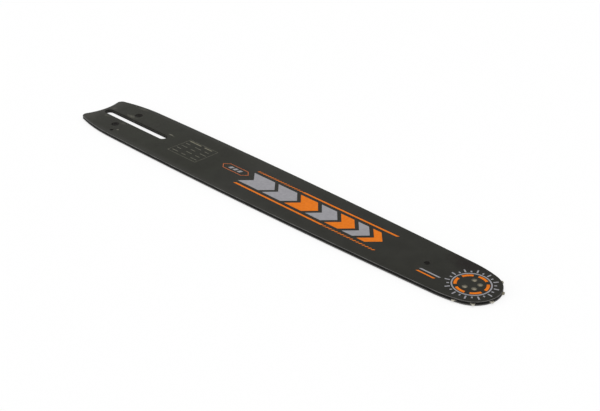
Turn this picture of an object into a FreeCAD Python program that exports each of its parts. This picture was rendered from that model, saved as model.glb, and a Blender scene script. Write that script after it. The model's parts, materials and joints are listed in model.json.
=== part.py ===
import FreeCAD, Part
import math
import os

# Guide bar for a small chainsaw, laid flat. Two steel side plates are welded to a narrower core
# plate, and the space left along both rails is the groove that the chain runs in. A toothed
# sprocket turns in the nose on a full ring of rollers, round a race that is riveted in place.
# Frame: origin at the middle of the stud slot on the lower face, +X to the nose, +Z up.
# All sizes are in millimetres.

# Plates
plate_t = 1.0
core_t = 1.3
edge_break = 0.3

# Stud slot, and the tail end behind it
slot_length = 88.0
slot_width = 8.2
tail_wall = 3.85
tail_hollow_r = 44.0
tail_corner_r = 4.5

# Rails: half widths are measured from the centre line, and stations from the slot's rear end
bar_width = 59.6
belly_station = 115.0
flare_r = 190.0
flare_end_station = 42.0

# Nose
nose_station = 417.0
nose_r = 21.2
shoulder_drop = 1.8
shoulder_r = 90.0

# Chain groove
groove_depth = 6.5

# Holes for the chain adjuster's pin, one used each way up
adjuster_station = 31.6
adjuster_spacing = 26.3
adjuster_d = 7.4

# Oil holes, one in each side plate, that open into the groove
oil_station = 39.5
oil_d = 3.1
oil_notch_d = 4.2

# Locating hole behind the nose
locating_setback = 38.3
locating_d = 4.5

# Sprocket
tooth_count = 10
tooth_stand_out = 1.4
tooth_height = 7.6
tooth_land = 1.6
gullet_r = 2.9
first_tooth_angle = -14.4
sprocket_side_gap = 0.05
pocket_gap = 0.8

# Roller bearing
race_r = 8.4
roller_d = 3.0
roller_gap = 0.02
roller_spacing_gap = 0.05

# Rivets: they take four of five even places, and the place that faces the tail stays free
rivet_places = 5
rivet_circle_r = 5.63
rivet_d = 3.3
rivet_recess = 0.05
rivet_gap = 0.02

# Sizes that follow from those above
bar_t = 2 * plate_t + core_t
slot_rear_x = -slot_length / 2
half_width = bar_width / 2
overrun = bar_t
core_top = plate_t + core_t
sprocket_tip_r = nose_r + tooth_stand_out
sprocket_root_r = sprocket_tip_r - tooth_height
sprocket_t = core_t - 2 * sprocket_side_gap
roller_orbit_r = race_r + roller_gap + roller_d / 2
sprocket_bore_r = race_r + roller_d + 2 * roller_gap
roller_pitch_angle = 2 * math.asin((roller_d + roller_spacing_gap) / (2 * roller_orbit_r))
roller_count = math.floor(2 * math.pi / roller_pitch_angle)


def point(x, y):
    return FreeCAD.Vector(x, y, 0)


def towards(centre, radius, aim):
    """The point of a circle that lies on the ray from its centre to aim."""
    return centre + (aim - centre).normalize() * radius


def meeting_point(c1, r1, c2, r2):
    """The point at r1 from c1 and at r2 from c2, on the left of the way from c1 to c2."""
    gap = c2 - c1
    along = (r1 ** 2 - r2 ** 2 + gap.Length ** 2) / (2 * gap.Length)
    across = math.sqrt(r1 ** 2 - along ** 2)
    gap.normalize()
    return c1 + gap * along + point(-gap.y, gap.x) * across


def arc(centre, start, end):
    """An arc of less than half a turn about centre."""
    radius = (start - centre).Length
    middle = towards(centre, radius, (start + end) * 0.5)
    return Part.Arc(start, middle, end).toShape()


def flipped(edges):
    """The same edges on the other side of the centre line."""
    return [edge.mirror(point(0, 0), point(0, 1)) for edge in edges]


def prism(edges, bottom, height):
    """A solid between two heights, from the edges of one closed outline."""
    face = Part.Face(Part.Wire(Part.__sortEdges__(edges)))
    face.translate(FreeCAD.Vector(0, 0, bottom))
    return face.extrude(FreeCAD.Vector(0, 0, height))


# Centres of the outline's arcs on the +Y side. The flank is one long arc: it is level at the
# belly, and at the nose's centre it stands shoulder_drop outside the nose circle.
nose_c = point(slot_rear_x + nose_station, 0)
belly_x = slot_rear_x + belly_station
flank_run = nose_c.x - belly_x
flank_fall = half_width - nose_r - shoulder_drop
flank_r = (flank_run ** 2 + flank_fall ** 2) / (2 * flank_fall)
flank_c = point(belly_x, half_width - flank_r)
flare_end_angle = math.asin((slot_rear_x + flare_end_station - belly_x) / flank_r)
flare_end = flank_c + point(math.sin(flare_end_angle), math.cos(flare_end_angle)) * flank_r
flare_c = towards(flare_end, flare_r, flank_c)
shoulder_c = meeting_point(flank_c, flank_r - shoulder_r, nose_c, shoulder_r - nose_r)
tail_x = slot_rear_x - tail_wall
tail_c = point(tail_x - tail_hollow_r, 0)
corner_c = meeting_point(tail_c, tail_hollow_r + tail_corner_r, flare_c, flare_r - tail_corner_r)


def rail(inset, start):
    """The +Y rail from start on the flare to the nose's tip, set in from the outline by inset."""
    flare_to_flank = towards(flare_c, flare_r - inset, flare_end)
    flank_to_shoulder = towards(flank_c, flank_r - inset, shoulder_c)
    shoulder_to_nose = towards(shoulder_c, shoulder_r - inset, nose_c)
    tip = nose_c + point(nose_r - inset, 0)
    return [
        arc(flare_c, start, flare_to_flank),
        arc(flank_c, flare_to_flank, flank_to_shoulder),
        arc(shoulder_c, flank_to_shoulder, shoulder_to_nose),
        arc(nose_c, shoulder_to_nose, tip),
    ]


def bar_outline():
    """The full outline of a side plate: rails, nose, rounded tail corners and hollow tail."""
    hollow_to_corner = towards(tail_c, tail_hollow_r, corner_c)
    corner_to_flare = towards(flare_c, flare_r, corner_c)
    half = [arc(tail_c, point(tail_x, 0), hollow_to_corner)]
    half.append(arc(corner_c, hollow_to_corner, corner_to_flare))
    half += rail(0, corner_to_flare)
    return half + flipped(half)


def rail_y(x, inset):
    """The +Y rail's distance from the centre line at x, where the flare runs."""
    return flare_c.y + math.sqrt((flare_r - inset) ** 2 - (x - flare_c.x) ** 2)


def groove_floor_outline():
    """The line of the groove's floor round the bar, carried straight out past the tail."""
    back_x = corner_c.x - 2 * tail_corner_r
    back = point(back_x, rail_y(back_x, groove_depth))
    half = rail(groove_depth, back)
    half.append(Part.LineSegment(point(back_x, 0), back).toShape())
    return half + flipped(half)


def hole(x, y, diameter):
    """A round cutter through the whole bar."""
    height = bar_t + 2 * overrun
    return Part.makeCylinder(diameter / 2, height, FreeCAD.Vector(x, y, -overrun))


def stud_slot():
    """The cutter for the slot that the bar studs pass through."""
    end_r = slot_width / 2
    straight = slot_length / 2 - end_r
    near, far = point(0, -end_r), point(0, end_r)
    ends = [point(-straight, 0), point(straight, 0)]
    edges = [Part.LineSegment(ends[0] + side, ends[1] + side).toShape() for side in (near, far)]
    for end, direction in zip(ends, (-1, 1)):
        edges.append(Part.Arc(end + near, end + point(direction * end_r, 0), end + far).toShape())
    return prism(edges, -overrun, bar_t + 2 * overrun)


def shared_holes():
    """The cutters that go through all three plates."""
    adjuster_x = slot_rear_x + adjuster_station
    holes = [hole(adjuster_x, side * adjuster_spacing / 2, adjuster_d) for side in (-1, 1)]
    return [stud_slot(), hole(nose_c.x - locating_setback, 0, locating_d)] + holes


oil_x = slot_rear_x + oil_station
oil_y = rail_y(oil_x, groove_depth)


def rivet():
    """A straight rivet on the Z axis. It is peened tight and ground, so both ends lie
    rivet_recess below the plates' faces."""
    height = bar_t - 2 * rivet_recess
    return Part.makeCylinder(rivet_d / 2, height, FreeCAD.Vector(0, 0, rivet_recess))


def rivet_hole():
    return hole(0, 0, rivet_d + 2 * rivet_gap)


def at_rivets(shape):
    """One copy of a shape at each rivet."""
    copies = []
    for place in range(rivet_places - 1):
        angle = 180 + 360 * (place + 1) / rivet_places
        copy = shape.copy()
        copy.translate(nose_c + point(rivet_circle_r, 0))
        copy.rotate(nose_c, FreeCAD.Vector(0, 0, 1), angle)
        copies.append(copy)
    return copies


def side_plate(bottom, outer_z, oil_side):
    """A side plate between bottom and bottom + plate_t, with its outer rim broken at outer_z."""
    plate = prism(bar_outline(), bottom, plate_t)
    outer = [face for face in plate.Faces if abs(face.CenterOfMass.z - outer_z) < edge_break / 2]
    plate = plate.makeChamfer(edge_break, outer[0].Edges)
    cutters = shared_holes() + at_rivets(rivet_hole()) + [hole(oil_x, oil_side * oil_y, oil_d)]
    return plate.cut(cutters)


def core_plate():
    """The core, set in from the rails, with a hollow at the front that clears the sprocket."""
    inside = prism(groove_floor_outline(), plate_t, core_t)
    core = prism(bar_outline(), plate_t, core_t).common(inside)
    pocket = hole(nose_c.x, 0, 2 * (sprocket_tip_r + pocket_gap))
    oil_notches = [hole(oil_x, side * oil_y, oil_notch_d) for side in (-1, 1)]
    return core.cut(shared_holes() + [pocket] + oil_notches)


def sprocket():
    """The star-shaped nose sprocket. Its teeth keep a narrow land of the round blank, and each
    straight flank runs from the land's corner to a round gullet that it is tangent to."""
    half_pitch = math.pi / tooth_count
    gullet_way = point(math.cos(half_pitch), math.sin(half_pitch))
    gullet_c = gullet_way * (sprocket_root_r + gullet_r)
    land_angle = math.asin(tooth_land / 2 / sprocket_tip_r)
    corner = point(math.cos(land_angle), math.sin(land_angle)) * sprocket_tip_r
    flank_length = math.sqrt((gullet_c - corner).Length ** 2 - gullet_r ** 2)
    flank_foot = meeting_point(corner, flank_length, gullet_c, gullet_r)
    half_tooth = [
        arc(point(0, 0), point(sprocket_tip_r, 0), corner),
        Part.LineSegment(corner, flank_foot).toShape(),
        arc(gullet_c, flank_foot, gullet_way * sprocket_root_r),
    ]
    tooth = half_tooth + flipped(half_tooth)
    outline = []
    for k in range(tooth_count):
        for edge in tooth:
            turned = edge.copy()
            turned.rotate(point(0, 0), FreeCAD.Vector(0, 0, 1), first_tooth_angle + 360 * k / tooth_count)
            turned.translate(nose_c)
            outline.append(turned)
    star = prism(outline, plate_t + sprocket_side_gap, sprocket_t)
    return star.cut(hole(nose_c.x, 0, 2 * sprocket_bore_r))


def inner_race():
    """The race that the rollers run on, clamped between the side plates by the rivets."""
    race = Part.makeCylinder(race_r, core_t, nose_c + FreeCAD.Vector(0, 0, plate_t))
    return race.cut(at_rivets(rivet_hole()))


def roller(k):
    """One roller of the full ring."""
    base = nose_c + FreeCAD.Vector(roller_orbit_r, 0, plate_t + sprocket_side_gap)
    shape = Part.makeCylinder(roller_d / 2, sprocket_t, base)
    shape.rotate(nose_c, FreeCAD.Vector(0, 0, 1), 360 * k / roller_count)
    return shape


parts = {
    "upper_side_plate": side_plate(core_top, bar_t, -1),
    "lower_side_plate": side_plate(0, 0, 1),
    "core_plate": core_plate(),
    "nose_sprocket": sprocket(),
    "bearing_inner_race": inner_race(),
    "nose_rivets": Part.makeCompound(at_rivets(rivet())),
}
for k in range(roller_count):
    parts[f"roller_{k + 1:02d}"] = roller(k)

os.makedirs("parts", exist_ok=True)
for name, shape in parts.items():
    shape.exportStep(f"parts/{name}.step")
    box = shape.BoundBox
    print(name, len(shape.Solids), shape.isValid(), round(shape.Volume, 2), box)
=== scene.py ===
"""Looks of a laminated chainsaw guide bar: satin black plates, ground rims, print and peened rivets."""

import json
import math

import bmesh
import bpy
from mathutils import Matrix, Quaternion, Vector


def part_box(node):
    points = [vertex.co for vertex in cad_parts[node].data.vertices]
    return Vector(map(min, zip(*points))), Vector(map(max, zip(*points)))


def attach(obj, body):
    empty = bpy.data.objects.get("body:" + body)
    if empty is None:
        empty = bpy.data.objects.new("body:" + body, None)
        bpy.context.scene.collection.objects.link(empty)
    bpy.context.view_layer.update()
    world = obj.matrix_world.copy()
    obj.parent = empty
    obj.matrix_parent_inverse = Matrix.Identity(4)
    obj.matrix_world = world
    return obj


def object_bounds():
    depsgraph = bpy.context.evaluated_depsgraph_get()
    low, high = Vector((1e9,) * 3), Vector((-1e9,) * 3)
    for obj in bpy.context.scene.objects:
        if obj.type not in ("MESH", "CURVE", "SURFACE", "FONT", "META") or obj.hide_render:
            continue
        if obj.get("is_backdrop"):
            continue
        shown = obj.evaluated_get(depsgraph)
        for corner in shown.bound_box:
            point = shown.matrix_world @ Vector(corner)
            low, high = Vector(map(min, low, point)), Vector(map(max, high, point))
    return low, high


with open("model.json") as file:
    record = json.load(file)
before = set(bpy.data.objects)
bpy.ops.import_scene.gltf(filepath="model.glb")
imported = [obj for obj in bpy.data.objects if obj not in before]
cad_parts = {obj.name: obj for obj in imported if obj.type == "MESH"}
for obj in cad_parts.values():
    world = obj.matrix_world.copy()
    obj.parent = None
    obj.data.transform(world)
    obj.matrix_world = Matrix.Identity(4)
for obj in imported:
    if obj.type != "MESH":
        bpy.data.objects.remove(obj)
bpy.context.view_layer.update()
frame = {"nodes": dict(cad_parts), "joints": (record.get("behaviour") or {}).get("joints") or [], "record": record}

MM = 0.001

# Sizes and places of the solid model, in millimetres
plate_low, plate_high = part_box("upper_side_plate")
TOP = plate_high.z / MM
PLATE_THICKNESS = (plate_high.z - plate_low.z) / MM
NOSE_X = frame["joints"][0]["pos_m"][0] / MM
mounts = {mount["name"]: mount for mount in frame["record"]["mounts"]}
OIL_HOLE_X, OIL_HOLE_Y, _ = [value / MM for value in mounts["oil_hole_upper"]["pos_m"]]

# Camera, as the photograph was taken: its place in metres, its turns in degrees, its lens in millimetres
CAMERA_PLACE = (0.7072, -0.4889, 0.3822)
CAMERA_AZIMUTH = 45.51
CAMERA_ELEVATION = 28.69
CAMERA_ROLL = -0.376
CAMERA_LENS = 61.98
SENSOR_WIDTH = 36

# Floor: its grey level, its reach in metres, and how far its shadows fade to white where they are seen
FLOOR_LEVEL = 0.93
FLOOR_REACH = 6.0
FLOOR_WHITE_SHARE = 0.7

# Sky: the grey levels of its soft light
HORIZON_LEVEL = 0.45
ZENITH_LEVEL = 0.75

# How far the print reaches above and below the upper face, in millimetres
INK_ABOVE = 0.03
INK_BELOW = 0.02

# Rivets: the radius of their circle in millimetres, and their places on it in degrees
RIVET_CIRCLE_R = 5.63
RIVET_ANGLES = (36, 108, 252, 324)

# A rivet's head, in millimetres: its crown stands above the face, and its rim and shank sit below it
RIVET_HEAD_R = 2.1
RIVET_CROWN = 0.09
RIVET_RIM_DEPTH = 0.01
RIVET_SHANK_R = 1.6
RIVET_SHANK_DEPTH = 0.06

# How far the top of a crown leans to one side, in millimetres; the crown's painted highlight leans with it
RIVET_LEAN_X = 1.05
RIVET_LEAN_Y = -1.05

# How finely a head is cut: rings from its middle to its rim, and sides round it
RIVET_RINGS = 9
RIVET_SIDES = 40

# Painted shade on the sprocket, in millimetres: where it starts and where it is deepest, towards the far rail
SHADE_START_Y = -1.0
SHADE_END_Y = 5.0

# How level a face is, from 0 to 1: the most on a wall, and the least on a level face
WALL_FLATNESS = 0.3
LEVEL_FLATNESS = 0.95

# The slot's walls, and those of an oil hole, lie within these reaches of their middles, in millimetres
SLOT_REACH_X = 45.0
SLOT_REACH_Y = 4.5
OIL_HOLE_REACH = 2.5

# The part of the bar, in millimetres, whose only walls are those of the slot and the middle holes
HOLES_START_X = -SLOT_REACH_X
HOLES_END_X = 345.0
HOLES_REACH_Y = 18.0

# The inner face of a plate is further from its outer face than this share of its thickness
INNER_FACE_SHARE = 0.8

# The roughness of unpolished steel, in the holes and in the groove
DULL_ROUGHNESS = 0.85

# Paint, in millimetres: where its tone turns cooler and paler along the bar as painted light, and where the rails'
# paler band of painted highlight lies
TONE_START_X = 110.0
TONE_END_X = 150.0
RAIL_BAND_Y = 23.0
RAIL_EDGE_Y = 29.0

# The tail's hollow end, in millimetres: the centre and radius of its arc, and how far its painted sheen reaches
TAIL_HOLLOW_X = -91.85
TAIL_HOLLOW_R = 44.0
TAIL_FADE = 14.0

# Scuffs and rubbed patches on the upper face: x, y, half length and half width in millimetres, and strength
SCUFFS = [
    (-1.0, -19.0, 1.5, 1.1, 1.0),
    (42.2, 7.5, 4.0, 1.0, 1.0),
    (46.5, 6.8, 2.5, 1.0, 0.3),
    (-16.2, 7.2, 7.5, 2.4, 0.5),
    (-9.0, -7.3, 4.5, 2.0, 0.3),
    (-33.0, -7.3, 4.0, 2.4, 0.3),
    (-42.0, 7.6, 3.5, 2.4, 0.2),
    (-21.0, 24.7, 7.0, 2.6, 0.28),
    (-41.0, -20.0, 13.0, 8.0, 0.09),
]

# A darker patch on the upper face, behind the nose towards the far rail: the same five values
NOSE_PATCH = (358.0, 19.0, 22.0, 11.0, 0.75)


def srgb(red, green, blue):
    """A linear colour from the 0 to 255 values of a screen."""
    def linear(value):
        share = value / 255
        return share / 12.92 if share < 0.04045 else ((share + 0.055) / 1.055) ** 2.4
    return (linear(red), linear(green), linear(blue), 1)


# The rails' paler tone is a painted highlight, and the tail's a painted sheen
RAIL_HIGHLIGHT_TONE = srgb(43, 43, 38)
TAIL_SHEEN_TONE = srgb(50, 49, 44)
# The slot's walls are painted dark as painted shade, and the holes' walls paler as painted light
SLOT_SHADE_TONE = srgb(48, 47, 44)
HOLE_LIGHT_TONE = srgb(57, 55, 53)
# The groove's bare steel is made paler as painted light
GROOVE_STEEL_AND_LIGHT_TONE = srgb(83, 82, 80)
SCUFF_TONE = srgb(112, 110, 98)
NOSE_PATCH_TONE = srgb(20, 14, 13)

# Darkest and palest tone of each plate's outer wall, in screen values: the upper plate's are painted shade, and
# the lower plate's painted light
UPPER_WALL_SHADE = ((26, 26, 25), (38, 38, 37))
LOWER_WALL_LIGHT = ((97, 96, 95), (119, 118, 116))


# Materials


class Finish:
    """A material with one shader, and short calls for the nodes that drive it."""

    def __init__(self, name, metallic=0.0, specular=0.5):
        self.material = bpy.data.materials.new(name)
        self.material.use_nodes = True
        self.nodes = self.material.node_tree.nodes
        self.links = self.material.node_tree.links
        self.shader = self.nodes["Principled BSDF"]
        self.shader.inputs["Metallic"].default_value = metallic
        self.shader.inputs["Specular IOR Level"].default_value = specular
        self.place = self.nodes.new("ShaderNodeTexCoord").outputs["Object"]

    def feed(self, socket, value):
        """Links a node's output to a socket, or sets a plain value there."""
        if isinstance(value, bpy.types.NodeSocket):
            self.links.new(value, socket)
        else:
            socket.default_value = value

    def math(self, operation, *values):
        """The result of an operation on sockets and plain numbers."""
        node = self.nodes.new("ShaderNodeMath")
        node.operation = operation
        for socket, value in zip(node.inputs, values):
            self.feed(socket, value)
        return node.outputs[0]

    def axes(self, vector):
        """The x, y and z of a vector."""
        split = self.nodes.new("ShaderNodeSeparateXYZ")
        self.links.new(vector, split.inputs[0])
        return split.outputs

    def spread(self, value, low, high, start=0.3, end=0.7):
        """Carries a value from between start and end, where noise mostly lies, to between low and high."""
        node = self.nodes.new("ShaderNodeMapRange")
        for name, number in zip(("From Min", "From Max", "To Min", "To Max"), (start, end, low, high)):
            node.inputs[name].default_value = number
        self.links.new(value, node.inputs["Value"])
        return node.outputs["Result"]

    def noise(self, size, detail=3.0, stretch=(1, 1, 1)):
        """A noise value whose blotches are about size millimetres, stretched along the axes."""
        mapping = self.nodes.new("ShaderNodeMapping")
        mapping.inputs["Scale"].default_value = [1 / factor for factor in stretch]
        texture = self.nodes.new("ShaderNodeTexNoise")
        texture.inputs["Scale"].default_value = 1 / (size * MM)
        texture.inputs["Detail"].default_value = detail
        self.links.new(self.place, mapping.inputs["Vector"])
        self.links.new(mapping.outputs["Vector"], texture.inputs["Vector"])
        return texture.outputs["Fac"]

    def ramp(self, noise, dark, light):
        """A colour that a noise value carries from one screen colour to another."""
        node = self.nodes.new("ShaderNodeValToRGB")
        for element, position, tone in zip(node.color_ramp.elements, (0.35, 0.65), (dark, light)):
            element.position = position
            element.color = srgb(*tone)
        self.links.new(noise, node.inputs["Fac"])
        return node.outputs["Color"]

    def mix_colour(self, mask, first, second):
        """The first colour where a mask is 0, and the second where it is 1."""
        node = self.nodes.new("ShaderNodeMix")
        node.data_type = "RGBA"
        for index, value in zip((0, 6, 7), (mask, first, second)):
            self.feed(node.inputs[index], value)
        return node.outputs[2]

    def mix_number(self, mask, first, second):
        """The first number where a mask is 0, and the second where it is 1."""
        node = self.nodes.new("ShaderNodeMix")
        for index, value in zip((0, 2, 3), (mask, first, second)):
            self.feed(node.inputs[index], value)
        return node.outputs[0]

    def inside(self, value, low, high):
        """1 where a value lies between two others, and 0 elsewhere."""
        return self.math("COMPARE", value, (low + high) / 2, (high - low) / 2)

    def block(self, start_x, end_x, reach_y):
        """1 between two places along the bar and within a reach of its middle line, in millimetres."""
        x, y, _ = self.axes(self.place)
        along = self.inside(x, start_x * MM, end_x * MM)
        across = self.inside(y, -reach_y * MM, reach_y * MM)
        return self.math("MULTIPLY", along, across)

    def flatness(self):
        """1 on level faces, 0 on upright walls."""
        normal = self.nodes.new("ShaderNodeNewGeometry").outputs["True Normal"]
        return self.math("ABSOLUTE", self.axes(normal)[2])

    def walls(self):
        """1 on upright walls."""
        return self.math("LESS_THAN", self.flatness(), WALL_FLATNESS)

    def slopes(self):
        """1 on the broken edges between walls and level faces."""
        return self.inside(self.flatness(), WALL_FLATNESS, LEVEL_FLATNESS)

    def level_faces(self):
        """1 on level faces."""
        return self.math("GREATER_THAN", self.flatness(), LEVEL_FLATNESS)

    def spot(self, uneven, x, y, half_length, half_width, strength):
        """A soft patch at a place in millimetres, from strength in its middle to 0 past its uneven edge."""
        mapping = self.nodes.new("ShaderNodeMapping")
        mapping.inputs["Location"].default_value = (-x / half_length, -y / half_width, 0)
        mapping.inputs["Scale"].default_value = (1 / (half_length * MM), 1 / (half_width * MM), 0)
        length = self.nodes.new("ShaderNodeVectorMath")
        length.operation = "LENGTH"
        self.links.new(self.place, mapping.inputs["Vector"])
        self.links.new(mapping.outputs["Vector"], length.inputs[0])
        core, edge = 0.3, 1.0
        return self.spread(self.math("ADD", length.outputs["Value"], uneven), strength, 0, core, edge)

    def set_colour(self, value):
        self.feed(self.shader.inputs["Base Color"], value)

    def set_roughness(self, value):
        self.feed(self.shader.inputs["Roughness"], value)

    def set_bump(self, value, depth):
        """Relief of about depth millimetres."""
        relief = self.nodes.new("ShaderNodeBump")
        relief.inputs["Strength"].default_value = 1
        relief.inputs["Distance"].default_value = depth * MM
        self.links.new(value, relief.inputs["Height"])
        self.links.new(relief.outputs["Normal"], self.shader.inputs["Normal"])


def hole_walls(finish):
    """1 on the walls of the slot and of the holes."""
    middle = finish.block(HOLES_START_X, HOLES_END_X, HOLES_REACH_Y)
    oil_start, oil_end = OIL_HOLE_X - OIL_HOLE_REACH, OIL_HOLE_X + OIL_HOLE_REACH
    oil = finish.block(oil_start, oil_end, abs(OIL_HOLE_Y) + OIL_HOLE_REACH)
    return finish.math("MULTIPLY", finish.walls(), finish.math("MAXIMUM", middle, oil))


def hole_shade_and_light(finish):
    """The slot's walls painted darker as painted shade, and the holes' walls paler as painted light."""
    slot = finish.block(-SLOT_REACH_X, SLOT_REACH_X, SLOT_REACH_Y)
    return finish.mix_colour(slot, HOLE_LIGHT_TONE, SLOT_SHADE_TONE)


def tail_sheen_mask(finish):
    """Where the tail's painted sheen lies: 1 at the tail's hollow end, falling to 0 along the bar."""
    x, y, _ = finish.axes(finish.place)
    run = finish.math("SUBTRACT", x, TAIL_HOLLOW_X * MM)
    square = finish.math("ADD", finish.math("MULTIPLY", run, run), finish.math("MULTIPLY", y, y))
    reach = finish.math("SQRT", square)
    return finish.spread(reach, 1, 0, TAIL_HOLLOW_R * MM, (TAIL_HOLLOW_R + TAIL_FADE) * MM)


def paint_with_painted_light(finish):
    """Satin black that turns cooler and paler along the bar as painted light, with a painted highlight at the
    rails and a painted sheen at the tail's end.
    """
    x, y, _ = finish.axes(finish.place)
    blotches = finish.noise(14, 4)
    warm = finish.ramp(blotches, (28, 28, 20), (32, 33, 24))
    cool = finish.ramp(blotches, (34, 34, 29), (39, 39, 34))
    # Paler towards the nose: painted light
    along = finish.spread(x, 0, 1, TONE_START_X * MM, TONE_END_X * MM)
    # The rails' paler band: a painted highlight
    rail = finish.spread(finish.math("ABSOLUTE", y), 0, 1, RAIL_BAND_Y * MM, RAIL_EDGE_Y * MM)
    paint = finish.mix_colour(rail, finish.mix_colour(along, warm, cool), RAIL_HIGHLIGHT_TONE)
    # The tail's paler end: a painted sheen
    return finish.mix_colour(tail_sheen_mask(finish), paint, TAIL_SHEEN_TONE)


def scuffed_and_darkened_tone(finish, tone):
    """A tone with the scuffs, the rubbed patches and the darker patch behind the nose over it."""
    rubbed = finish.spread(finish.noise(0.5, 3, (5, 1, 1)), 0.2, 1.1)
    uneven = finish.spread(finish.noise(2.2, 3, (1.6, 1, 1)), -0.35, 0.35)
    for scuff in SCUFFS:
        patch = finish.math("MULTIPLY", finish.spot(uneven, *scuff), rubbed)
        tone = finish.mix_colour(patch, tone, SCUFF_TONE)
    clouds = finish.spread(finish.noise(7, 3), -0.2, 0.2)
    return finish.mix_colour(finish.spot(clouds, *NOSE_PATCH), tone, NOSE_PATCH_TONE)


def plate_finish(name, painted_wall_tones, worn=False):
    """Satin black paint, ground to steel at the rim and paler there as a painted highlight, outer walls in the
    upper plate's painted shade and the lower plate's painted light, dull holes with painted shade and light on
    their walls, and bare steel in the groove made paler as painted light.
    """
    finish = Finish(name, specular=0.05)
    hole = hole_walls(finish)
    outer_wall = finish.math("SUBTRACT", finish.walls(), hole)
    z = finish.axes(finish.place)[2]
    inner = PLATE_THICKNESS * INNER_FACE_SHARE
    between = finish.inside(z, inner * MM, (TOP - inner) * MM)
    groove = finish.math("MULTIPLY", between, finish.level_faces())

    grain = finish.noise(3, 4, (4, 1, 1))
    # Ground steel at the rim, made paler as a painted highlight
    rim_steel_and_highlight = finish.ramp(grain, (80, 79, 78), (106, 105, 103))
    tone = finish.mix_colour(finish.slopes(), paint_with_painted_light(finish), rim_steel_and_highlight)
    # Outer walls: painted shade on the upper plate, painted light on the lower
    tone = finish.mix_colour(outer_wall, tone, finish.ramp(grain, *painted_wall_tones))
    # Slot and hole walls: painted shade and painted light
    tone = finish.mix_colour(hole, tone, hole_shade_and_light(finish))
    # Bare steel in the groove, paler as painted light
    tone = finish.mix_colour(groove, tone, GROOVE_STEEL_AND_LIGHT_TONE)
    finish.set_colour(scuffed_and_darkened_tone(finish, tone) if worn else tone)

    sheen = finish.spread(finish.noise(5, 4), 0.33, 0.38)
    dull = finish.math("MAXIMUM", hole, groove)
    finish.set_roughness(finish.mix_number(dull, sheen, DULL_ROUGHNESS))
    finish.set_bump(finish.noise(0.35, 2), 0.003)
    return finish.material


def core_finish():
    """Dark oiled steel at the groove's floor, and dull black in the slot and the holes, with painted shade and
    light on their walls.
    """
    finish = Finish("dark_oiled_steel", specular=0.2)
    hole = hole_walls(finish)
    steel = finish.ramp(finish.noise(3, 4), (50, 49, 46), (66, 64, 61))
    # Slot and hole walls: painted shade and painted light
    finish.set_colour(finish.mix_colour(hole, steel, hole_shade_and_light(finish)))
    sheen = finish.spread(finish.noise(2, 3), 0.5, 0.7)
    finish.set_roughness(finish.mix_number(hole, sheen, DULL_ROUGHNESS))
    finish.set_bump(finish.noise(0.3, 2), 0.006)
    return finish.material


def rivet_finish():
    """Peened steel, brighter on the crown than at the foot, as wear and as a painted highlight."""
    finish = Finish("peened_steel", metallic=1.0)
    middle = TOP / 2 * MM
    z = finish.axes(finish.place)[2]
    from_middle = finish.math("ABSOLUTE", finish.math("SUBTRACT", z, middle))
    above = finish.math("SUBTRACT", from_middle, middle)
    # The crown's brighter tone: wear and a painted highlight
    wear_and_highlight_start, wear_and_highlight_end = 0.5 * RIVET_CROWN * MM, 0.95 * RIVET_CROWN * MM
    worn = finish.spread(above, 0, 1, wear_and_highlight_start, wear_and_highlight_end)
    blotches = finish.noise(1.6, 3)
    foot = finish.ramp(blotches, (78, 74, 63), (96, 91, 78))
    crown = finish.ramp(blotches, (130, 123, 106), (156, 148, 128))
    finish.set_colour(finish.mix_colour(worn, foot, crown))
    finish.set_roughness(finish.spread(finish.noise(0.6, 3), 0.32, 0.48))
    finish.set_bump(finish.noise(0.35, 2), 0.006)
    return finish.material


def sprocket_finish():
    """Hardened steel, bright on the cut teeth, and darker as painted shade on the flat faces and on the far rail's
    side.
    """
    finish = Finish("hardened_steel", metallic=0.4)
    blotches = finish.noise(2.5, 4)
    bright = finish.ramp(blotches, (177, 173, 160), (205, 201, 187))
    # Flat faces: darker as painted shade
    dull = finish.ramp(blotches, (104, 101, 90), (126, 122, 110))
    # The far rail's side: darker as painted shade
    oiled = finish.ramp(blotches, (104, 98, 80), (136, 130, 110))
    walls_and_faces_tone = finish.mix_colour(finish.level_faces(), bright, dull)
    y = finish.axes(finish.place)[1]
    # Painted shade, deepest towards the far rail
    oil = finish.spread(y, 0, 1, SHADE_START_Y * MM, SHADE_END_Y * MM)
    finish.set_colour(finish.mix_colour(oil, walls_and_faces_tone, oiled))
    finish.set_roughness(finish.spread(finish.noise(1.5, 3), 0.28, 0.42))
    finish.set_bump(finish.noise(0.25, 2), 0.003)
    return finish.material


def roller_finish():
    """Ground steel."""
    finish = Finish("ground_steel", metallic=1.0)
    finish.set_colour(finish.ramp(finish.noise(2, 4), (186, 186, 184), (206, 206, 204)))
    finish.set_roughness(finish.spread(finish.noise(1.2, 3), 0.16, 0.26))
    finish.set_bump(finish.noise(0.2, 2), 0.001)
    return finish.material


def ink(name, dark, light, specular):
    """Satin printing ink in two near tones."""
    finish = Finish(name, specular=specular)
    finish.set_colour(finish.ramp(finish.noise(2.2, 4), dark, light))
    finish.set_roughness(finish.spread(finish.noise(1.32, 3), 0.42, 0.55))
    finish.set_bump(finish.noise(0.3, 2), 0.003)
    return finish.material


GREY_INK = ink("grey_ink", (137, 136, 140), (146, 145, 149), 0.15)
ORANGE_INK = ink("orange_ink", (209, 107, 6), (219, 115, 12), 0.08)
BADGE_INK = ink("badge_ink", (172, 86, 36), (184, 96, 44), 0.15)
FAINT_INK = ink("faint_ink", (70, 70, 61), (96, 94, 82), 0.12)
HEADER_INK = ink("header_ink", (88, 86, 72), (112, 109, 92), 0.12)
RIVET_STEEL = rivet_finish()
ROLLER_FINISH = roller_finish()

NODE_FINISHES = {
    "upper_side_plate": plate_finish("upper_plate_paint", UPPER_WALL_SHADE, worn=True),
    "lower_side_plate": plate_finish("lower_plate_paint", LOWER_WALL_LIGHT),
    "core_plate": core_finish(),
    "nose_sprocket": sprocket_finish(),
    "nose_rivets": RIVET_STEEL,
}


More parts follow.
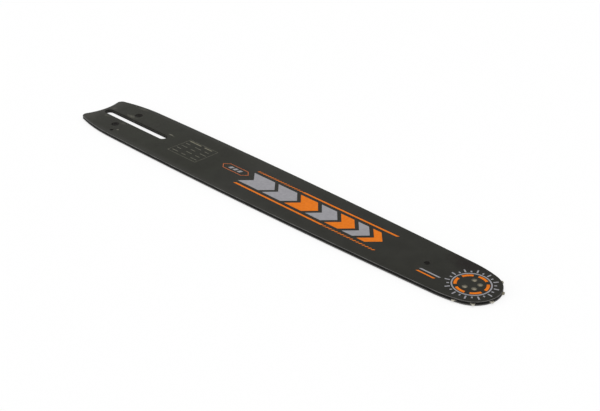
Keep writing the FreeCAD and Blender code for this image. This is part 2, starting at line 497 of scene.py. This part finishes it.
def dress_nodes():
    """Every node of the solid model keeps its mesh and gets its finish."""
    for name, node in frame["nodes"].items():
        slot = node.material_slots[0]
        slot.link = "OBJECT"
        slot.material = NODE_FINISHES.get(name, ROLLER_FINISH)


# Rivet heads


def piece_from(name, mesh, finish):
    """A piece of the bar from a finished bmesh."""
    bmesh.ops.recalc_face_normals(mesh, faces=mesh.faces)
    data = bpy.data.meshes.new(name)
    mesh.to_mesh(data)
    mesh.free()
    data.materials.append(finish)
    piece = bpy.data.objects.new(name, data)
    bpy.context.scene.collection.objects.link(piece)
    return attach(piece, "bar")


def add_turned(mesh, centre_x, centre_y, profile):
    """A closed turned form. Its profile of radius, height and lean runs from the axis and back to it."""
    def point(angle, radius, height, lean):
        x = centre_x + radius * math.cos(angle) + lean * RIVET_LEAN_X
        y = centre_y + radius * math.sin(angle) + lean * RIVET_LEAN_Y
        return mesh.verts.new((x * MM, y * MM, height * MM))

    angles = [2 * math.pi * k / RIVET_SIDES for k in range(RIVET_SIDES)]
    rings = [[point(angle, *place) for angle in angles] for place in profile[1:-1]]
    poles = [point(0, *place) for place in (profile[0], profile[-1])]
    faces = []
    for k in range(RIVET_SIDES):
        after = (k + 1) % RIVET_SIDES
        for inner, outer in zip(rings, rings[1:]):
            faces.append(mesh.faces.new((inner[k], inner[after], outer[after], outer[k])))
        for pole, ring in zip(poles, (rings[0], rings[-1])):
            faces.append(mesh.faces.new((pole, ring[k], ring[after])))
    for face in faces:
        face.smooth = True


def rivet_profile(face_z, up):
    """A rivet's head on one face of the bar: a crown whose top leans to one side, and a shank below it."""
    profile = []
    for k in range(RIVET_RINGS + 1):
        share = k / RIVET_RINGS
        height = (RIVET_CROWN + RIVET_RIM_DEPTH) * (1 - share ** 2) - RIVET_RIM_DEPTH
        profile.append((RIVET_HEAD_R * share, face_z + up * height, 1 - share))
    shank_z = face_z - up * RIVET_SHANK_DEPTH
    return profile + [(RIVET_SHANK_R, shank_z, 0), (0, shank_z, 0)]


def rivet_heads():
    """The rivets' peened ends: low crowns, struck a little to one side, that spread over the plates."""
    for name, face_z, up in (("rivet_heads_upper", TOP, 1), ("rivet_heads_lower", 0, -1)):
        mesh = bmesh.new()
        for angle in RIVET_ANGLES:
            turn = math.radians(angle)
            x, y = NOSE_X + RIVET_CIRCLE_R * math.cos(turn), RIVET_CIRCLE_R * math.sin(turn)
            add_turned(mesh, x, y, rivet_profile(face_z, up))
        piece_from(name, mesh, RIVET_STEEL)


# Print: thin closed prisms of ink on the upper plate


def ink_line(mesh, outline, height):
    """The points of a line on the plate, at one height."""
    return [mesh.verts.new((x * MM, y * MM, height * MM)) for x, y in outline]


def add_patch(mesh, outline):
    """A patch of ink with one closed outline."""
    low = ink_line(mesh, outline, TOP - INK_BELOW)
    high = ink_line(mesh, outline, TOP + INK_ABOVE)
    mesh.faces.new(low)
    mesh.faces.new(high)
    for k in range(len(outline)):
        after = (k + 1) % len(outline)
        mesh.faces.new((low[k], low[after], high[after], high[k]))


def add_band(mesh, inner, outer, closed=True):
    """A band of ink between two lines with as many points as each other."""
    low_in, low_out = [ink_line(mesh, line, TOP - INK_BELOW) for line in (inner, outer)]
    high_in, high_out = [ink_line(mesh, line, TOP + INK_ABOVE) for line in (inner, outer)]
    count = len(inner)
    for k in range(count if closed else count - 1):
        after = (k + 1) % count
        mesh.faces.new((low_in[k], low_in[after], low_out[after], low_out[k]))
        mesh.faces.new((high_in[k], high_in[after], high_out[after], high_out[k]))
        mesh.faces.new((low_in[k], low_in[after], high_in[after], high_in[k]))
        mesh.faces.new((low_out[k], low_out[after], high_out[after], high_out[k]))
    if not closed:
        for k in (0, count - 1):
            mesh.faces.new((low_in[k], low_out[k], high_out[k], high_in[k]))


def bar_stripe(x_start, x_end, y_middle, width, slant=0.0):
    """The outline of a straight stripe along the bar, with ends that lean forward by slant."""
    low, high = y_middle - width / 2, y_middle + width / 2
    return [(x_start, low), (x_end, low), (x_end + slant, high), (x_start + slant, high)]


def chevron(x, half_height, arm, lead):
    """The outline of an arrowhead that points to the nose."""
    return [
        (x, -half_height),
        (x + arm, -half_height),
        (x + arm + lead, 0),
        (x + arm, half_height),
        (x, half_height),
        (x + lead, 0),
    ]


def arc_points(radius, start, end, steps):
    """Points on an arc round the nose's axis, between two angles in degrees."""
    angles = [math.radians(start + (end - start) * k / steps) for k in range(steps + 1)]
    return [(NOSE_X + radius * math.cos(angle), radius * math.sin(angle)) for angle in angles]


def ring_points(radius, steps):
    """Points on a full ring round the nose's axis."""
    return arc_points(radius, 0, 360 * (steps - 1) / steps, steps - 1)


def main_print():
    """A run of chevrons that grow thinner towards the nose, between two slim rules that end in ticks."""
    grey, orange = bmesh.new(), bmesh.new()
    start, half_height, lead, gap = 148.0, 9.2, 9.0, 4.2
    arms = [24, 21, 18.5, 16, 13.5, 10.5, 8]
    colours = [grey, grey, orange, grey, orange, grey, orange]
    x = start
    for arm, mesh in zip(arms, colours):
        add_patch(mesh, chevron(x, half_height, arm, lead))
        x += arm + gap

    rule_y, rule_width, slant = 13.2, 1.7, 1.7
    tick_pitch, tick_width, ticks = 3.0, 1.5, 17
    ticks_length = ticks * tick_pitch
    end = x + lead - slant
    for side in (1, -1):
        y = side * rule_y
        for k in range(ticks):
            run = k * tick_pitch
            tick_x = start + run if side > 0 else end - tick_width - run
            add_patch(orange, bar_stripe(tick_x, tick_x + tick_width, y, rule_width, slant))
        rule_start = start + ticks_length if side > 0 else start
        rule_end = end if side > 0 else end - ticks_length
        add_patch(orange, bar_stripe(rule_start, rule_end, y, rule_width, slant))
    piece_from("print_chevrons_grey", grey, GREY_INK)
    piece_from("print_chevrons_orange", orange, ORANGE_INK)


def badge():
    """A small pointed badge outline with three short bars in it."""
    middle_x, middle_y = 132.3, 2.4
    half_length, half_height, point_length, line = 15.6, 4.4, 4.6, 0.6
    tip_mitre, shoulder_mitre = 1.45, 0.4

    def outline(inset):
        tip = half_length - inset * tip_mitre
        shoulder = half_length - point_length - inset * shoulder_mitre
        side = half_height - inset
        near = [(-shoulder, -side), (shoulder, -side)]
        far = [(shoulder, side), (-shoulder, side)]
        corners = [(-tip, 0)] + near + [(tip, 0)] + far
        return [(middle_x + x, middle_y + y) for x, y in corners]

    frame_mesh, bars = bmesh.new(), bmesh.new()
    add_band(frame_mesh, outline(line), outline(0))
    bar_length, bar_pitch, bar_height, slant = 3.2, 5.2, 3.2, 1.3
    for k in (-1, 0, 1):
        x = middle_x + k * bar_pitch - bar_length / 2 - slant / 2
        add_patch(bars, bar_stripe(x, x + bar_length, middle_y, bar_height, slant))
    piece_from("print_badge_line", frame_mesh, BADGE_INK)
    piece_from("print_badge_bars", bars, GREY_INK)


def data_field():
    """A faint ruled field: a header of two bright dashes over rows of short blank dashes."""
    faint, header = bmesh.new(), bmesh.new()
    left, right, low, high, line = 62.0, 98.5, -12.8, 13.0, 0.4

    def corners(inset):
        x_low, x_high, y_low, y_high = left + inset, right - inset, low + inset, high - inset
        return [(x_low, y_low), (x_high, y_low), (x_high, y_high), (x_low, y_high)]

    add_band(faint, corners(line), corners(0))
    header_drop, header_width = 2.0, 1.3
    header_y = high - header_drop
    header_dashes = ((1.6, 15.0), (21.0, 9.5))
    for indent, length in header_dashes:
        start = left + indent
        add_patch(header, bar_stripe(start, start + length, header_y, header_width))

    # The margin under the rows is a share of a row, and the dashes and their indent are shares of a column
    rows, margin_share = 4, 0.7
    columns, indent_share, short_share, long_share = 3, 0.2, 0.45, 0.62
    dash_width = 0.8
    row_pitch = (header_y - low) / (rows + margin_share)
    column_pitch = (right - left) / columns
    for row in range(rows):
        y = header_y - row_pitch * (row + 1)
        for column in range(columns):
            x = left + column_pitch * (column + indent_share)
            length = column_pitch * (long_share if (row + column) % 2 else short_share)
            add_patch(faint, bar_stripe(x, x + length, y, dash_width))
    piece_from("print_data_field", faint, FAINT_INK)
    piece_from("print_data_header", header, HEADER_INK)


def nose_print():
    """A dial round the rivets, a ring with rays outside it and orange arcs inside it, and two stripes."""
    grey, orange = bmesh.new(), bmesh.new()
    ring_inner, ring_outer, ring_steps = 12.95, 14.0, 96
    add_band(grey, ring_points(ring_inner, ring_steps), ring_points(ring_outer, ring_steps))

    rays, ray_start, short_ray, long_ray, half_width = 24, 15.0, 16.8, 18.6, 0.55
    for k in range(rays):
        angle = 360 * (k + 0.5) / rays
        ray_end = long_ray if k % 2 else short_ray
        turn_in, turn_out = [math.degrees(half_width / radius) for radius in (ray_start, ray_end)]
        inner_line = arc_points(ray_start, angle - turn_in, angle + turn_in, 2)
        outer_line = arc_points(ray_end, angle - turn_out, angle + turn_out, 2)
        add_band(grey, inner_line, outer_line, closed=False)

    arcs, arc_span, arc_inner, arc_outer, arc_steps = 6, 42, 10.0, 12.1, 14
    for k in range(arcs):
        start = 360 * k / arcs
        inner_line = arc_points(arc_inner, start, start + arc_span, arc_steps)
        outer_line = arc_points(arc_outer, start, start + arc_span, arc_steps)
        add_band(orange, inner_line, outer_line, closed=False)

    stripe_start, stripe_width, slant = 335.0, 1.3, 1.3
    for mesh, length, y in ((grey, 17.0, -8.6), (orange, 15.0, -12.0)):
        add_patch(mesh, bar_stripe(stripe_start, stripe_start + length, y, stripe_width, slant))
    piece_from("print_nose_grey", grey, GREY_INK)
    piece_from("print_nose_orange", orange, ORANGE_INK)


# Stage, light and camera


def seen_rays(nodes, links):
    """1 for the rays that show a white backdrop: straight from the camera, mirrored or through glass."""
    path = nodes.new("ShaderNodeLightPath")
    seen = path.outputs["Is Camera Ray"]
    for ray in ("Is Glossy Ray", "Is Transmission Ray"):
        either = nodes.new("ShaderNodeMath")
        either.operation = "MAXIMUM"
        links.new(seen, either.inputs[0])
        links.new(path.outputs[ray], either.inputs[1])
        seen = either.outputs[0]
    return seen


def mix_shaders(nodes, links, share, first, second, output):
    """Sends the first shader to an output where share is 0, and the second where it is 1."""
    mix = nodes.new("ShaderNodeMixShader")
    for socket, source in zip(mix.inputs, (share, first, second)):
        links.new(source, socket)
    links.new(mix.outputs["Shader"], output.inputs["Surface"])


def floor():
    """A pale floor, level with the lowest point of the rivet heads."""
    data = bpy.data.meshes.new("floor")
    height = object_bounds()[0].z
    signs = ((-1, -1), (1, -1), (1, 1), (-1, 1))
    corners = [(x * FLOOR_REACH, y * FLOOR_REACH, height) for x, y in signs]
    data.from_pydata(corners, [], [(0, 1, 2, 3)])
    finish = Finish("pale_floor", specular=0.0)
    finish.set_colour((FLOOR_LEVEL, FLOOR_LEVEL, FLOOR_LEVEL, 1))
    finish.set_roughness(0.9)
    nodes, links = finish.nodes, finish.links
    glow = nodes.new("ShaderNodeEmission")
    glow.inputs["Color"].default_value = (1, 1, 1, 1)
    share = finish.math("MULTIPLY", seen_rays(nodes, links), FLOOR_WHITE_SHARE)
    paint, white = finish.shader.outputs["BSDF"], glow.outputs["Emission"]
    mix_shaders(nodes, links, share, paint, white, nodes["Material Output"])
    data.materials.append(finish.material)
    plane = bpy.data.objects.new("floor", data)
    bpy.context.scene.collection.objects.link(plane)
    plane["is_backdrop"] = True


def sky():
    """A soft studio, brighter overhead, that looks white to the camera and in reflections."""
    world = bpy.data.worlds.new("studio")
    bpy.context.scene.world = world
    world.use_nodes = True
    nodes, links = world.node_tree.nodes, world.node_tree.links
    studio = nodes["Background"]
    place = nodes.new("ShaderNodeTexCoord")
    split = nodes.new("ShaderNodeSeparateXYZ")
    ramp = nodes.new("ShaderNodeValToRGB")
    for element, height, level in zip(ramp.color_ramp.elements, (0, 1), (HORIZON_LEVEL, ZENITH_LEVEL)):
        element.position = height
        element.color = (level, level, level, 1)
    links.new(place.outputs["Generated"], split.inputs["Vector"])
    links.new(split.outputs["Z"], ramp.inputs["Fac"])
    links.new(ramp.outputs["Color"], studio.inputs["Color"])
    white = nodes.new("ShaderNodeBackground")
    white.inputs["Color"].default_value = (1, 1, 1, 1)
    soft, plain = studio.outputs["Background"], white.outputs["Background"]
    mix_shaders(nodes, links, seen_rays(nodes, links), soft, plain, nodes["World Output"])


def lamp(name, place, strength, spread):
    """A far soft light that shines from the direction of place."""
    data = bpy.data.lights.new(name, "SUN")
    data.energy = strength
    data.angle = math.radians(spread)
    light = bpy.data.objects.new(name, data)
    light.rotation_mode = "QUATERNION"
    light.rotation_quaternion = (-Vector(place)).to_track_quat("-Z", "Y")
    bpy.context.scene.collection.objects.link(light)


def camera():
    """The camera that took the photograph."""
    data = bpy.data.cameras.new("camera")
    data.lens = CAMERA_LENS
    data.sensor_width = SENSOR_WIDTH
    data.clip_start = 0.01
    data.clip_end = 50
    view = bpy.data.objects.new("camera", data)
    azimuth, elevation = math.radians(CAMERA_AZIMUTH), math.radians(CAMERA_ELEVATION)
    level = math.cos(elevation)
    back = Vector((math.sin(azimuth) * level, -math.cos(azimuth) * level, math.sin(elevation)))
    roll = Quaternion((0, 0, 1), math.radians(CAMERA_ROLL))
    view.location = CAMERA_PLACE
    view.rotation_mode = "QUATERNION"
    view.rotation_quaternion = (-back).to_track_quat("-Z", "Y") @ roll
    bpy.context.scene.collection.objects.link(view)
    bpy.context.scene.camera = view


dress_nodes()
rivet_heads()
main_print()
badge()
data_field()
nose_print()
floor()
sky()
lamp("overhead", (0.10, 0.05, 0.99), strength=1.2, spread=50)
lamp("side", (-0.45, -0.80, 0.22), strength=0.5, spread=20)
camera()
bpy.context.scene.view_settings.view_transform = "Standard"
